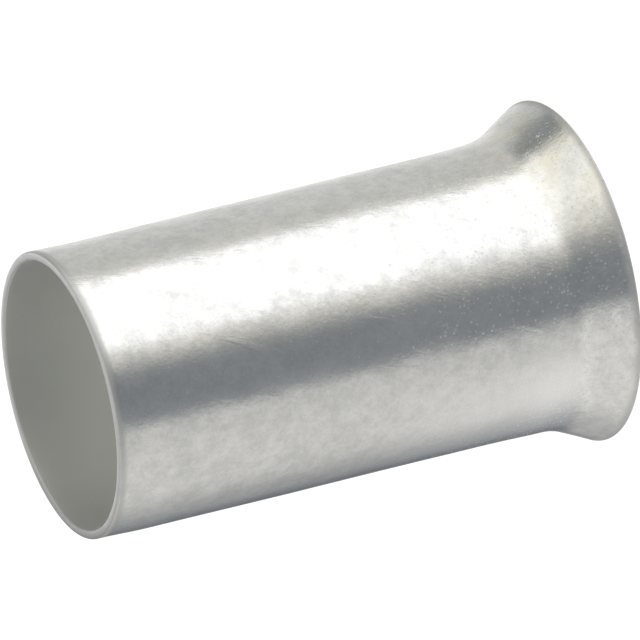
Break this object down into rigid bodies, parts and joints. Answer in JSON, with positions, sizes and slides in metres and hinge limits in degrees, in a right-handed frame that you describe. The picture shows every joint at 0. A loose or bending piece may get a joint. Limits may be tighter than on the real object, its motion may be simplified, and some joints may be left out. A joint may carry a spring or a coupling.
{
  "type": "wire ferrule",
  "caption": "Bare cord-end sleeve: a thin straight metal tube, open at both ends, with one end flared into a bell mouth that guides stranded wire in.",
  "frame": {"origin": "centre of the bell mouth's opening, in the plane of the lip that it stands on", "axes": "+Z along the barrel's axis, from the bell mouth up to the square-cut end; X and Y across it, and the sleeve is round, so their directions are free"},
  "size_m": [0.0074, 0.0074, 0.012],
  "materials": {
    "tin_plate": "satin tin plating on copper, with fine pits and soft scuffs"
  },
  "bodies": {
    "root": {"sleeve": "tin_plate"}
  },
  "joints": []
}
